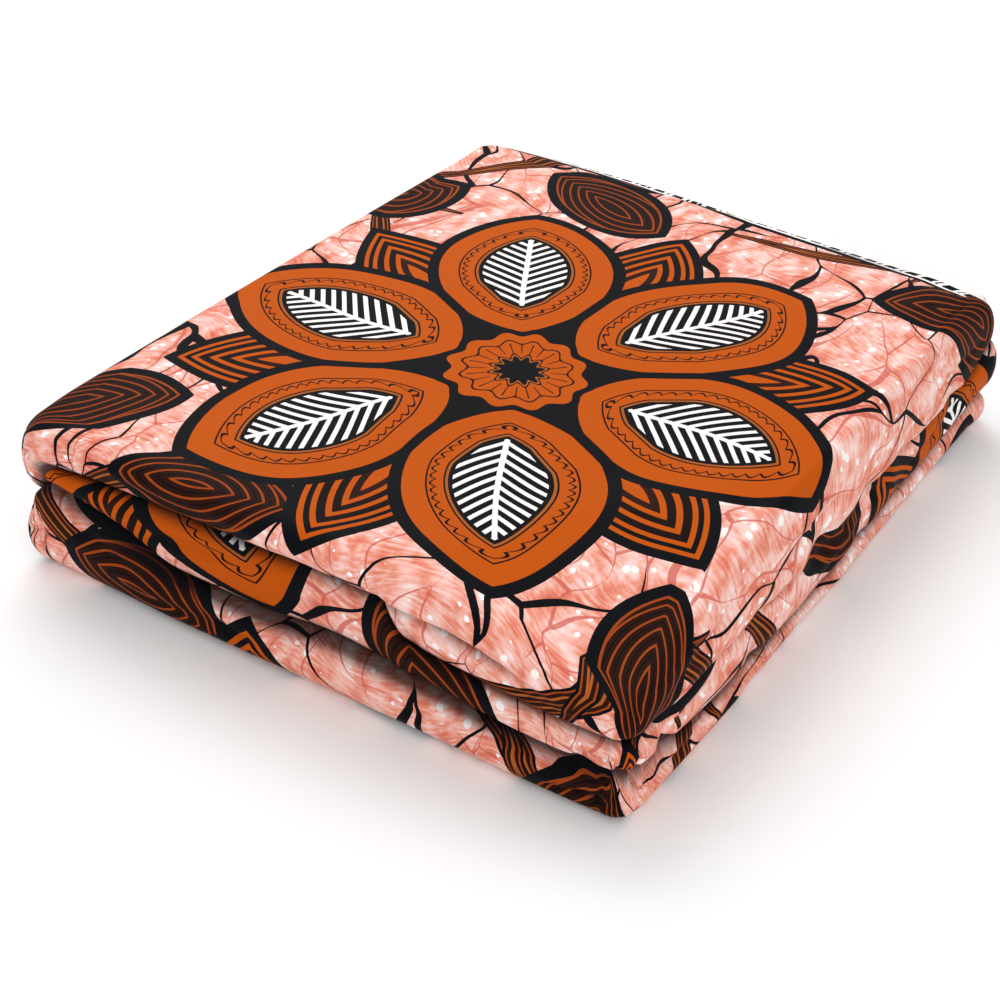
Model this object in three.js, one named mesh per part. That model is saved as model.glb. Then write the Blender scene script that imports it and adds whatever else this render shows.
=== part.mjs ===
// A folded length of wax print cloth: six yards laid in two tiers, each tier many layers deep.
// Millimetres, +Z up.  The origin is under the middle of the bundle, on the surface it lies on.
// +X runs along the rolled front, +Y runs away from it, to the side where the selvages lie.
//
// The bundle is described by sections taken round its outline.  A section's place is its "turn",
// from 0 to 4: 0 at the left front corner, 1 right front, 2 right back, 3 left back.
// In a section a point is (inset, z): inset is measured inward from the nominal outline.

import * as THREE from 'three';

// ---------------------------------------------------------------- driving dimensions
const HALF_LENGTH = 123; // nominal outline, before the rolls bulge past it
const HALF_DEPTH = 145;
const BUNDLE_HEIGHT = 62;
const CLOTH_WALL = 1.8; // a few layers of cotton that turn as one sheet
const FREE_END = 0.9; // a hanging sheet's straight end, past its curve
const SEAM_GAP = 0.3; // between sheets that lie on each other
const CORE_GAP = 0.9; // between a sheet and the layers inside it
const TOP_ROLL_DEPTH = 9; // from a roll's outermost line back to where it starts
const LOW_ROLL_DEPTH = 9;
const MIDDLE_ROLL_DEPTH = 7;
const TIGHTEST_TURN = 2; // radius round a roll's tip
const CORNER_SHARE = 0.035; // part of a side that its rounded corner takes
const SMALLEST_CORNER = 6;
const ROLL_STEPS = 6;
const FLAT_INSETS = [75, 45, 27, 15]; // where the top is divided, inward of its rolls
const UNDERSIDE_INSETS = [60, 20];
const THINNEST_LAYER = 0.4; // of the hidden layers, over a sheet that lies flat
const MIDDLE_START = 0.06; // the middle fold comes out from under the top roll here
const MIDDLE_END = 1.985;
const SAME_TURN = 0.004; // stations closer than this count as one
const EDGE_STEP = 1.5; // from an outer sheet to the first layer edge at the back
const LAYER_INSET = 0.8; // how far in from the nominal outline the layer edges lie
const FLAT_EDGE_FACE = 2.6; // the same, beside that stretch, where the outer sheets lie flat
const SLOT_CLEAR = 2; // past the ends that are tucked into a slot
const SLOT_STEP = 0.2; // of a slot's height, from its roof or floor to the next point
const LAYER_GROOVE = 1.6; // depth of the grooves between the layer edges at the back
const TROUGH_FADE = 11; // how far in the troughs are felt
const DOME_REACH = 62; // how far in from the outline the top starts to fall to its edge
const DROOP_REACH = 88; // the right front corner sags, from this far away
const DROOP_SHARE = 0.24; // of the height, at the very corner

// How far a sheet has turned, in degrees: where its edge lies flat, where it hangs, from where it
// takes up room under itself, where its end points inward, and where it is tucked and fully rolled.
const LYING = 25;
const TO_UPRIGHT = 65; // from lying to upright
const HANGING = 95;
const UNDER_FROM = 120;
const INWARD = 125;
const ROLLED = 140;
const FULL_ROLL = 180;

const CORNER_RADII = [
  { corner: 'left front', radius: 6, startAngle: -180 },
  { corner: 'right front', radius: 6, startAngle: -90 },
  { corner: 'right back', radius: 10, startAngle: 0 },
  { corner: 'left back', radius: 9, startAngle: 90 },
];

// How finely each stretch of the outline is divided.
const STRETCHES = [
  { to: 0.035, steps: 4 },
  { to: 0.06, steps: 2 },
  { to: 0.12, steps: 4 },
  { to: 0.6, steps: 9 },
  { to: 0.7, steps: 7 },
  { to: 0.9, steps: 4 },
  { to: 0.965, steps: 3 },
  { to: 1.035, steps: 5 },
  { to: 1.15, steps: 4 },
  { to: 1.9, steps: 13 },
  { to: 1.965, steps: 2 },
  { to: 1.985, steps: 1 },
  { to: 2.035, steps: 6 },
  { to: 2.1, steps: 2 },
  { to: 2.9, steps: 5 },
  { to: 2.965, steps: 2 },
  { to: 3.035, steps: 6 },
  { to: 3.12, steps: 8 },
  { to: 3.88, steps: 6 },
  { to: 3.965, steps: 3 },
  { to: 4, steps: 4 },
];

// Heights round the bundle.  crown: the top where it starts to turn down.  crease: the lower edge
// of the top sheet.  split: the upper edge of the lower sheet.  Between them is the middle fold.
const HEIGHTS = [
  { turn: 0, crown: 60.4, crease: 28, split: 26.4 },
  { turn: 0.02, crown: 60.6, crease: 33.4, split: 31.2 },
  { turn: 0.035, crown: 60.7, crease: 39.8, split: 36.6 },
  { turn: 0.05, crown: 60.8, crease: 43.2, split: 37.6 },
  { turn: 0.11, crown: 61, crease: 45, split: 34 },
  { turn: 0.18, crown: 61.4, crease: 45.8, split: 29.4 },
  { turn: 0.28, crown: 61.6, crease: 46.4, split: 20.2 },
  { turn: 0.41, crown: 61.8, crease: 46.8, split: 19.6 },
  { turn: 0.55, crown: 61.8, crease: 47.2, split: 22 },
  { turn: 0.62, crown: 61.4, crease: 46.8, split: 20.6 },
  { turn: 0.665, crown: 61.2, crease: 34.6, split: 20.2 },
  { turn: 0.72, crown: 61, crease: 33, split: 20.2 },
  { turn: 0.8, crown: 60.6, crease: 33.8, split: 19 },
  { turn: 0.88, crown: 60.4, crease: 36.8, split: 20 },
  { turn: 0.95, crown: 60.2, crease: 39.6, split: 22.8 },
  { turn: 1, crown: 59.8, crease: 42.4, split: 24.6 },
  { turn: 1.06, crown: 60.2, crease: 43.6, split: 20.4 },
  { turn: 1.15, crown: 60.4, crease: 40.4, split: 14.8 },
  { turn: 1.24, crown: 60.4, crease: 35.8, split: 11.2 },
  { turn: 1.35, crown: 60, crease: 32.8, split: 9.2 },
  { turn: 1.41, crown: 60.2, crease: 31.4, split: 8.8 },
  { turn: 1.45, crown: 60.2, crease: 34.8, split: 8.6 },
  { turn: 1.51, crown: 60.2, crease: 32.2, split: 8.6 },
  { turn: 1.6, crown: 60.4, crease: 34.2, split: 8.8 },
  { turn: 1.78, crown: 60.4, crease: 32.6, split: 10.2 },
  { turn: 1.9, crown: 58.6, crease: 32, split: 14 },
  { turn: 1.94, crown: 57.6, crease: 35.6, split: 15.6 },
  { turn: 1.965, crown: 57, crease: 39, split: 16.6 },
  { turn: 1.985, crown: 56.8, crease: 40.6, split: 17 },
  { turn: 2.035, crown: 57, crease: 55.9, split: 1.3 },
  { turn: 2.1, crown: 59, crease: 57.8, split: 1.3 },
  { turn: 2.5, crown: 61, crease: 59.7, split: 1.3 },
  { turn: 2.965, crown: 61, crease: 59.7, split: 1.3 },
  { turn: 3.09, crown: 61.2, crease: 29.8, split: 28.2 },
  { turn: 3.3, crown: 61.6, crease: 26, split: 25.2 },
  { turn: 3.7, crown: 61.4, crease: 25.4, split: 24.6 },
  { turn: 3.93, crown: 60.8, crease: 25.8, split: 25 },
  { turn: 3.965, crown: 60.6, crease: 26.8, split: 25.4 },
];

// How far each roll stands out past the nominal outline.
const OUTSETS = [
  { turn: 0, top: 1.5, middle: 1, low: 3 },
  { turn: 0.06, top: 2.2, middle: 0.4, low: 2.8 },
  { turn: 0.3, top: 2.4, middle: 0.2, low: 3 },
  { turn: 0.6, top: 2.2, middle: -0.4, low: 3 },
  { turn: 0.67, top: 2.9, middle: -0.2, low: 3 },
  { turn: 0.9, top: 3, middle: 0.6, low: 3 },
  { turn: 1, top: 3, middle: 1.2, low: 2.6 },
  { turn: 1.2, top: 2.4, middle: 2.4, low: 2 },
  { turn: 1.5, top: 0.8, middle: 1.6, low: 0.2 },
  { turn: 1.8, top: -1, middle: -0.2, low: -1.6 },
  { turn: 1.93, top: -1.6, middle: 0.6, low: -1.2 },
  { turn: 1.985, top: -1.2, middle: 2, low: 0.4 },
  { turn: 2.06, top: -1, middle: 0, low: 0 },
  { turn: 2.2, top: -2, middle: 0, low: -0.8 },
  { turn: 2.5, top: 0.4, middle: 0, low: -0.6 },
  { turn: 2.94, top: 3, middle: 0, low: 0.6 },
  { turn: 3.1, top: 2.6, middle: 0, low: 1.6 },
  { turn: 3.6, top: 3, middle: 0, low: 1.4 },
  { turn: 3.9, top: 3, middle: 0, low: 1.6 },
];

// What a sheet does at its edge: 180 is a full roll, 100 hangs down, 25 lies flat and just ends.
// tuck is how far a rolled sheet goes back in between the layers.  layered is 1 where the hidden
// layers show their edges, and fold is 1 where the middle fold is.
const EDGES = [
  { turn: 0, topBend: 180, lowBend: 180, tuck: 2, layered: 0, fold: 0 },
  { turn: 0.08, topBend: 180, lowBend: 180, tuck: 3, layered: 0, fold: 0 },
  { turn: 0.14, topBend: 180, lowBend: 180, tuck: 5, layered: 0, fold: 1 },
  { turn: 0.2, topBend: 180, lowBend: 180, tuck: 9, layered: 0, fold: 1 },
  { turn: 0.56, topBend: 180, lowBend: 180, tuck: 9, layered: 0, fold: 1 },
  { turn: 0.62, topBend: 180, lowBend: 180, tuck: 4, layered: 0, fold: 1 },
  { turn: 0.67, topBend: 180, lowBend: 180, tuck: 4, layered: 0, fold: 1 },
  { turn: 0.74, topBend: 180, lowBend: 180, tuck: 9, layered: 0, fold: 1 },
  { turn: 0.88, topBend: 180, lowBend: 180, tuck: 7, layered: 0, fold: 1 },
  { turn: 1, topBend: 180, lowBend: 180, tuck: 2, layered: 0, fold: 1 },
  { turn: 1.12, topBend: 105, lowBend: 180, tuck: 5, layered: 0, fold: 1 },
  { turn: 1.25, topBend: 105, lowBend: 180, tuck: 8, layered: 0, fold: 1 },
  { turn: 1.85, topBend: 105, lowBend: 180, tuck: 8, layered: 0, fold: 1 },
  { turn: 1.97, topBend: 105, lowBend: 180, tuck: 3, layered: 0, fold: 1 },
  { turn: 1.985, topBend: 105, lowBend: 180, tuck: 3, layered: 0, fold: 1 },
  { turn: 1.995, topBend: 90, lowBend: 150, tuck: 3, layered: 0, fold: 0 },
  { turn: 2.035, topBend: 25, lowBend: 25, tuck: 1, layered: 0, fold: 0 },
  { turn: 2.1, topBend: 25, lowBend: 25, tuck: 1, layered: 1, fold: 0 },
  { turn: 2.9, topBend: 25, lowBend: 25, tuck: 1, layered: 1, fold: 0 },
  { turn: 2.965, topBend: 25, lowBend: 25, tuck: 4, layered: 0, fold: 0 },
  { turn: 3.09, topBend: 180, lowBend: 180, tuck: 4, layered: 0, fold: 0 },
  { turn: 3.18, topBend: 180, lowBend: 180, tuck: 8, layered: 0, fold: 0 },
  { turn: 3.85, topBend: 180, lowBend: 180, tuck: 8, layered: 0, fold: 0 },
];

// Soft troughs that pull the outer layers in: gathers at the ends, and wrinkles at the corner
// where the top sheet droops.  half is a trough's half width in turns, from low to high in z.
const TROUGHS = [
  { turn: 0.02, half: 0.012, depth: 1.4, low: 30, high: 54 },
  { turn: 3.985, half: 0.012, depth: 1.5, low: 26, high: 60 },
  { turn: 3.95, half: 0.013, depth: 1.2, low: 2, high: 56 },
  { turn: 0.04, half: 0.014, depth: 1.5, low: 2, high: 30 },
  { turn: 0.5, half: 0.05, depth: 0.9, low: 22, high: 54 },
  { turn: 0.93, half: 0.022, depth: 2, low: 3, high: 32 },
  { turn: 0.985, half: 0.012, depth: 1.7, low: 8, high: 38 },
  { turn: 1.03, half: 0.014, depth: 2, low: 3, high: 34 },
  { turn: 1.09, half: 0.024, depth: 1.5, low: 4, high: 42 },
  { turn: 1.29, half: 0.04, depth: 2, low: 1, high: 38 },
  { turn: 1.45, half: 0.05, depth: 2.2, low: 12, high: 48 },
  { turn: 1.58, half: 0.04, depth: 1.8, low: 0, high: 42 },
  { turn: 1.7, half: 0.045, depth: 1.6, low: 2, high: 44 },
  { turn: 1.86, half: 0.04, depth: 1.8, low: 16, high: 44 },
  { turn: 3.25, half: 0.08, depth: 1.2, low: 4, high: 52 },
  { turn: 3.62, half: 0.07, depth: 1.4, low: 8, high: 56 },
];

const ROUGHNESS = 0.78;
const COLOURS = {
  topSheet: '#c8652c',
  middleFold: '#d98877',
  lowerSheet: '#8a4a24',
  hiddenLayers: '#d9b5a6',
};

// ---------------------------------------------------------------- tables and small helpers
const clamp = (value, low, high) => Math.min(Math.max(value, low), high);
const mix = (from, to, share) => from + (to - from) * share;
const radians = THREE.MathUtils.degToRad;

function smooth(value) {
  const share = clamp(value, 0, 1);
  return share * share * (3 - 2 * share);
}

// A row's slope, held to the smaller of its two neighbours so that no value overshoots.
function slopeAt(rows, index, column) {
  const count = rows.length;
  const before = rows[(index + count - 1) % count];
  const row = rows[index];
  const after = rows[(index + 1) % count];
  const spanBefore = (row.turn - before.turn + 4) % 4;
  const spanAfter = (after.turn - row.turn + 4) % 4;
  const slopeBefore = (row[column] - before[column]) / spanBefore;
  const slopeAfter = (after[column] - row[column]) / spanAfter;
  if (slopeBefore * slopeAfter <= 0) return 0;
  return (2 * slopeBefore * slopeAfter) / (slopeBefore + slopeAfter);
}

function readTable(rows, column, turn) {
  const place = ((turn % 4) + 4) % 4;
  let index = rows.length - 1;
  while (index > 0 && rows[index].turn > place) index -= 1;
  const next = (index + 1) % rows.length;
  const span = (rows[next].turn - rows[index].turn + 4) % 4;
  const share = ((place - rows[index].turn + 4) % 4) / span;
  const start = rows[index][column];
  const end = rows[next][column];
  const startSlope = slopeAt(rows, index, column) * span;
  const endSlope = slopeAt(rows, next, column) * span;
  const square = share * share;
  const cube = square * share;
  return (
    start * (2 * cube - 3 * square + 1) +
    startSlope * (cube - 2 * square + share) +
    end * (3 * square - 2 * cube) +
    endSlope * (cube - square)
  );
}

function listStations() {
  const stations = [];
  let from = 0;
  for (const stretch of STRETCHES) {
    for (let step = 0; step < stretch.steps; step += 1) {
      stations.push(mix(from, stretch.to, step / stretch.steps));
    }
    from = stretch.to;
  }
  return stations;
}

// ---------------------------------------------------------------- places on the bundle
function cornerPoint(corner, share, inset) {
  const { radius, startAngle } = CORNER_RADII[corner];
  const turned = radians(startAngle + 90 * share);
  const round = Math.max(radius - inset, SMALLEST_CORNER);
  const signX = corner === 1 || corner === 2 ? 1 : -1;
  const signY = corner >= 2 ? 1 : -1;
  const centreX = signX * (HALF_LENGTH - inset - round);
  const centreY = signY * (HALF_DEPTH - inset - round);
  return [centreX + round * Math.cos(turned), centreY + round * Math.sin(turned)];
}

function outlinePoint(turn, inset) {
  const place = ((turn % 4) + 4) % 4;
  const side = Math.floor(place) % 4;
  const share = place - Math.floor(place);
  const next = (side + 1) % 4;
  if (share < CORNER_SHARE) return cornerPoint(side, 0.5 + (0.5 * share) / CORNER_SHARE, inset);
  if (share > 1 - CORNER_SHARE) {
    return cornerPoint(next, (0.5 * (share - 1 + CORNER_SHARE)) / CORNER_SHARE, inset);
  }
  const from = cornerPoint(side, 1, inset);
  const to = cornerPoint(next, 0, inset);
  const along = (share - CORNER_SHARE) / (1 - 2 * CORNER_SHARE);
  return [mix(from[0], to[0], along), mix(from[1], to[1], along)];
}

// The troughs move every layer alike, and fade out towards the inside of the bundle.
function troughDepth(turn, inset, z) {
  let depth = 0;
  for (const trough of TROUGHS) {
    const away = Math.abs(((turn - trough.turn + 6) % 4) - 2) / trough.half;
    if (away >= 1) continue;
    const middle = (trough.low + trough.high) / 2;
    const reach = (trough.high - trough.low) / 2;
    const across = clamp(1 - ((z - middle) / reach) ** 2, 0, 1);
    depth += trough.depth * (1 - away * away) ** 2 * across;
  }
  return depth * Math.exp(-Math.max(inset, 0) / TROUGH_FADE);
}

function place(turn, [inset, z]) {
  const [x, y] = outlinePoint(turn, inset + troughDepth(turn, inset, z));
  const away = Math.hypot(HALF_LENGTH - x, HALF_DEPTH + y);
  return [x, y, z * (1 - DROOP_SHARE * smooth(1 - away / DROOP_REACH))];
}

// ---------------------------------------------------------------- sections
// A roll: an elliptic arc from the level of its start round towards the other side.
// direction is -1 for a sheet that turns down from the top, 1 for one that turns up.
// A low roll is a shallow one, so that the wall has room to turn round its tip.
function rollPoints({ start, finish, bend, deepest, outset, tuck, direction }) {
  const most = radians(bend);
  const half = Math.abs(finish - start) / (1 - Math.cos(most));
  const depth = Math.min(deepest, (half * half) / TIGHTEST_TURN);
  const points = [];
  for (let step = 0; step <= ROLL_STEPS; step += 1) {
    const angle = (most * step) / ROLL_STEPS;
    const inset = depth - outset - depth * Math.sin(angle);
    points.push([inset, start + direction * half * (1 - Math.cos(angle))]);
  }
  const inward = smooth((bend - HANGING) / (INWARD - HANGING));
  const alongInset = mix(-depth * Math.cos(most), depth, inward);
  const alongZ = mix(direction * half * Math.sin(most), 0, inward);
  const length = Math.hypot(alongInset, alongZ);
  const last = points[ROLL_STEPS];
  points.push([last[0] + (alongInset / length) * tuck, last[1] + (alongZ / length) * tuck]);
  return points;
}

// How long the tucked end is: next to none on an edge that hangs or lies flat.
const tuckFor = (turn, bend) => {
  const rolled = smooth((bend - HANGING) / (ROLLED - HANGING));
  return mix(FREE_END, readTable(EDGES, 'tuck', turn), rolled);
};

function crownAt(turn, inset) {
  const crown = readTable(HEIGHTS, 'crown', turn);
  return mix(crown, BUNDLE_HEIGHT, smooth((inset - TOP_ROLL_DEPTH) / DOME_REACH));
}

function topSection(turn) {
  const bend = readTable(EDGES, 'topBend', turn);
  const outset = readTable(OUTSETS, 'top', turn);
  const crown = readTable(HEIGHTS, 'crown', turn);
  const crease = readTable(HEIGHTS, 'crease', turn);
  const flat = FLAT_INSETS.map((inset) => [inset, crownAt(turn, inset)]);
  const roll = rollPoints({
    start: crown,
    finish: crease,
    bend,
    deepest: TOP_ROLL_DEPTH,
    outset,
    tuck: tuckFor(turn, bend),
    direction: -1,
  });
  return [...flat, ...roll];
}

function lowSection(turn) {
  const bend = readTable(EDGES, 'lowBend', turn);
  const outset = readTable(OUTSETS, 'low', turn);
  const split = readTable(HEIGHTS, 'split', turn);
  const roll = rollPoints({
    start: 0,
    finish: split,
    bend,
    deepest: LOW_ROLL_DEPTH,
    outset,
    tuck: tuckFor(turn, bend),
    direction: 1,
  });
  return [...UNDERSIDE_INSETS.map((inset) => [inset, 0]), ...roll];
}

function middleSection(turn) {
  const crease = readTable(HEIGHTS, 'crease', turn) - SEAM_GAP;
  const split = readTable(HEIGHTS, 'split', turn) + SEAM_GAP;
  const outset = readTable(OUTSETS, 'middle', turn);
  const tuck = readTable(EDGES, 'tuck', turn);
  const roll = rollPoints({
    start: crease,
    finish: split,
    bend: FULL_ROLL,
    deepest: MIDDLE_ROLL_DEPTH,
    outset,
    tuck,
    direction: -1,
  });
  return [[roll[0][0] + tuck, crease], ...roll];
}

// The same section moved inward by a distance.  side is 1 where the inside is on the left
// of the walk along the section, and -1 where it is on the right.
function offsetSection(section, distance, side) {
  return section.map(([inset, z], index) => {
    const before = section[Math.max(index - 1, 0)];
    const after = section[Math.min(index + 1, section.length - 1)];
    const alongInset = after[0] - before[0];
    const alongZ = after[1] - before[1];
    const length = Math.hypot(alongInset, alongZ);
    const normalInset = (-side * alongZ) / length;
    const normalZ = (side * alongInset) / length;
    return [inset + normalInset * distance, z + normalZ * distance];
  });
}

// From 0 where an edge hangs to 1 where it lies back under itself and takes up a wall more.
const foldedUnder = (bend) => smooth((bend - UNDER_FROM) / (FULL_ROLL - UNDER_FROM));

const everySecond = (points) => points.filter((point, index) => index % 2 === 0);

// The hidden layers fill each roll, and leave a slot for the tucked ends between two rolls.
function coreSection(turn) {
  const clear = CLOTH_WALL + CORE_GAP;
  const crease = readTable(HEIGHTS, 'crease', turn);
  const split = readTable(HEIGHTS, 'split', turn);
  const fold = readTable(EDGES, 'fold', turn);
  const layered = readTable(EDGES, 'layered', turn);
  const topBend = readTable(EDGES, 'topBend', turn);
  const lowBend = readTable(EDGES, 'lowBend', turn);
  const rolled = smooth((Math.min(topBend, lowBend) - LYING) / TO_UPRIGHT);
  const slotDepth = TOP_ROLL_DEPTH + readTable(EDGES, 'tuck', turn) + SLOT_CLEAR;
  const slotEnd = mix(FLAT_EDGE_FACE, slotDepth, rolled);
  const overFlatEdge = clear + EDGE_STEP;
  const below = mix(-overFlatEdge, CORE_GAP, smooth((lowBend - LYING) / TO_UPRIGHT));
  const above = mix(-overFlatEdge, CORE_GAP, smooth((topBend - LYING) / TO_UPRIGHT));
  const ceiling = split - below - CLOTH_WALL * foldedUnder(lowBend);
  const floor = crease + above + CLOTH_WALL * foldedUnder(topBend);

  // Each roll's inside: the sheet's own section without its tucked end, moved in.
  const lowInside = offsetSection(lowSection(turn), clear, -1).slice(0, -1);
  const topInside = offsetSection(topSection(turn), clear, 1).slice(0, -1);
  const middleInside = offsetSection(middleSection(turn), clear, 1).slice(1, -1);
  const highestLow = Math.max(ceiling, clear + THINNEST_LAYER);
  const lower = everySecond(lowInside).map(([inset, z]) => [inset, Math.min(z, highestLow)]);
  const upperRoll = everySecond(topInside.slice(FLAT_INSETS.length));
  const upper = [
    ...upperRoll.map(([inset, z]) => [inset, Math.max(z, floor)]).reverse(),
    ...topInside.slice(0, FLAT_INSETS.length).reverse(),
  ];
  const middle = everySecond(middleInside).reverse().map(([inset, z], index, all) => {
    const level = mix(ceiling, floor, (index + 1.5) / (all.length + 2));
    return [mix(slotEnd, inset, fold), mix(level, z, fold)];
  });
  const creaseLevel = crease - SEAM_GAP - clear;
  const splitLevel = split + SEAM_GAP + clear;
  const points = [
    ...lower,
    [slotEnd, highestLow],
    [slotEnd, mix(mix(ceiling, floor, SLOT_STEP), splitLevel, fold)],
    ...middle,
    [slotEnd, mix(mix(floor, ceiling, SLOT_STEP), creaseLevel, fold)],
    [slotEnd, floor],
    ...upper,
  ];

  // Where the edges of the layers show, the same points become a row of ridges and grooves.
  const low = split + overFlatEdge;
  const high = crease - overFlatEdge;
  const lastRidge = points.length - FLAT_INSETS.length - 1;
  return points.map(([inset, z], index) => {
    if (index === 0 || index > lastRidge) return [inset, z];
    const share = (index - 1) / (lastRidge - 1);
    const ridge = index % 2 === 1 ? LAYER_INSET : LAYER_INSET + LAYER_GROOVE;
    return [mix(inset, ridge, layered), mix(z, mix(low, high, share), layered)];
  });
}

// ---------------------------------------------------------------- solids
function solidMesh(name, positions, triangles, colour) {
  const geometry = new THREE.BufferGeometry();
  geometry.setAttribute('position', new THREE.Float32BufferAttribute(positions.flat(), 3));
  geometry.setIndex(triangles.flat());
  geometry.computeVertexNormals();
  const material = new THREE.MeshStandardMaterial({ color: colour, roughness: ROUGHNESS, metalness: 0 });
  const mesh = new THREE.Mesh(geometry, material);
  mesh.name = name;
  return mesh;
}

// Rings of points joined side by side, as two triangles for each four points.
function joinRings(triangles, ringStarts, ringLength, closed) {
  for (let ring = 0; ring + 1 < ringStarts.length; ring += 1) {
    const steps = closed ? ringLength : ringLength - 1;
    for (let step = 0; step < steps; step += 1) {
      const after = (step + 1) % ringLength;
      const a = ringStarts[ring] + step;
      const b = ringStarts[ring] + after;
      const c = ringStarts[ring + 1] + after;
      const d = ringStarts[ring + 1] + step;
      triangles.push([a, b, c], [a, c, d]);
    }
  }
}

// A solid whose sections run all the way round.  The first and the last ring close on a point.
function roundSolid(name, sectionAt, firstCentre, lastCentre, colour) {
  const stations = listStations();
  const sections = stations.map((turn) => sectionAt(turn));
  const positions = [];
  const triangles = [];
  const ringStarts = [];
  for (let ring = 0; ring < sections[0].length; ring += 1) {
    ringStarts.push(positions.length);
    stations.forEach((turn, index) => positions.push(place(turn, sections[index][ring])));
  }
  joinRings(triangles, ringStarts, stations.length, true);
  const first = positions.push(firstCentre) - 1;
  const last = positions.push(lastCentre) - 1;
  const lastRing = ringStarts[ringStarts.length - 1];
  stations.forEach((turn, index) => {
    const after = (index + 1) % stations.length;
    triangles.push([first, after, index]);
    triangles.push([last, lastRing + index, lastRing + after]);
  });
  return solidMesh(name, positions, triangles, colour);
}

function topSheet() {
  const sectionAt = (turn) => {
    const outside = topSection(turn);
    return [...offsetSection(outside, CLOTH_WALL, 1), ...outside.reverse()];
  };
  const inside = [0, 0, BUNDLE_HEIGHT - CLOTH_WALL];
  return roundSolid('top_sheet', sectionAt, inside, [0, 0, BUNDLE_HEIGHT], COLOURS.topSheet);
}

function lowerSheet() {
  const sectionAt = (turn) => {
    const outside = lowSection(turn);
    return [...outside, ...offsetSection(outside, CLOTH_WALL, -1).reverse()];
  };
  return roundSolid('lower_sheet', sectionAt, [0, 0, 0], [0, 0, CLOTH_WALL], COLOURS.lowerSheet);
}

function hiddenLayers() {
  const clear = CLOTH_WALL + CORE_GAP;
  const top = [0, 0, BUNDLE_HEIGHT - clear];
  return roundSolid('hidden_layers', coreSection, [0, 0, clear], top, COLOURS.hiddenLayers);
}

// The middle fold shows along the front and the right side, and ends at both.
function middleFold() {
  const from = MIDDLE_START + SAME_TURN;
  const to = MIDDLE_END - SAME_TURN;
  const inner = listStations().filter((turn) => turn > from && turn < to);
  const stations = [MIDDLE_START, ...inner, MIDDLE_END];
  const positions = [];
  const triangles = [];
  const loops = stations.map((turn) => {
    const outside = middleSection(turn);
    const loop = [...outside, ...offsetSection(outside, CLOTH_WALL, 1).reverse()];
    const start = positions.length;
    loop.forEach((point) => positions.push(place(turn, point)));
    return start;
  });
  const loopLength = 2 * (ROLL_STEPS + 3);
  joinRings(triangles, loops, loopLength, true);
  for (const [start, flip] of [[loops[0], false], [loops[loops.length - 1], true]]) {
    for (let step = 0; step < loopLength / 2 - 1; step += 1) {
      const a = start + step;
      const b = start + step + 1;
      const c = start + loopLength - 2 - step;
      const d = start + loopLength - 1 - step;
      if (flip) triangles.push([a, b, c], [a, c, d]);
      else triangles.push([a, c, b], [a, d, c]);
    }
  }
  return solidMesh('middle_fold', positions, triangles, COLOURS.middleFold);
}

// ---------------------------------------------------------------- the bundle
const bundle = new THREE.Group();
bundle.add(topSheet(), middleFold(), lowerSheet(), hiddenLayers());

// The outline is not even, so the bundle is set with the middle of its box over the origin.
const box = new THREE.Box3().setFromObject(bundle);
const middle = box.getCenter(new THREE.Vector3());
for (const mesh of bundle.children) mesh.position.set(-middle.x, -middle.y, -box.min.z);

export default bundle;
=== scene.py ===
"""A folded length of wax print cloth: its sheets, its layered edges and its print.

Lengths in the tables are millimetres, as cloth is measured, and MM turns them into metres.
A place round the bundle is its "turn", from 0 to 4: 0 at the left front corner, 1 right front,
2 right back, 3 left back.  A section's point is (inset, z), inset measured inward.
"""

import math

import bpy
import numpy as np
from mathutils import Matrix, Vector


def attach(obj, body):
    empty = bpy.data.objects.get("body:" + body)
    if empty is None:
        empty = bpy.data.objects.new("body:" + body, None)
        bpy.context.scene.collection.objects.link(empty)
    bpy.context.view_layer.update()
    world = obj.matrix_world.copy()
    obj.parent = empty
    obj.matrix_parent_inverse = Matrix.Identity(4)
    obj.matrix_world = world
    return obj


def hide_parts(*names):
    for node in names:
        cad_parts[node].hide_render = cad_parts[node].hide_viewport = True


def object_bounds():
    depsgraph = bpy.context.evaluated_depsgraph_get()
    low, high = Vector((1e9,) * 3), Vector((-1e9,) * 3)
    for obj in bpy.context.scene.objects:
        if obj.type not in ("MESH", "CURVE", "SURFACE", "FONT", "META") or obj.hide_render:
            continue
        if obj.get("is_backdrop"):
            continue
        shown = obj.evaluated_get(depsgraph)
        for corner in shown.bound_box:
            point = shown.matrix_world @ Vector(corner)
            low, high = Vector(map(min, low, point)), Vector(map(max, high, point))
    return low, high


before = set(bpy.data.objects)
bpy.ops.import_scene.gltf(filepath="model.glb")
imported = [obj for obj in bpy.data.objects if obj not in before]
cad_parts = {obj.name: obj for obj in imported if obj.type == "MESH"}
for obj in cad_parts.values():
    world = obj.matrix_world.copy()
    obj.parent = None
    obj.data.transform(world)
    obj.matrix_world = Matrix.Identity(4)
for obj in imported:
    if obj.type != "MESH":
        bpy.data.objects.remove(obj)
cad_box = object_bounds()

MM = 0.001

# ---------------------------------------------------------------- driving dimensions
HALF_LENGTH = 123
HALF_DEPTH = 145
BUNDLE_HEIGHT = 62
SEAM_GAP = 0.3
FREE_END = 0.9  # a hanging sheet's straight end, past its curve
TIGHTEST_TURN = 2  # radius round a roll's tip
TOP_ROLL_DEPTH = 9
LOW_ROLL_DEPTH = 9
MIDDLE_ROLL_DEPTH = 7
CORNER_SHARE = 0.035
SMALLEST_CORNER = 6
DOME_REACH = 62
EDGE_FALL = 0.6  # how much lower the top is near its edges
DROOP_REACH = 88
DROOP_SHARE = 0.24
MIDDLE_START = 0.06
MIDDLE_END = 1.985
NEAR_TURN = 0.003  # stations nearer than this to the middle sheet's ends are left out

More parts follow.
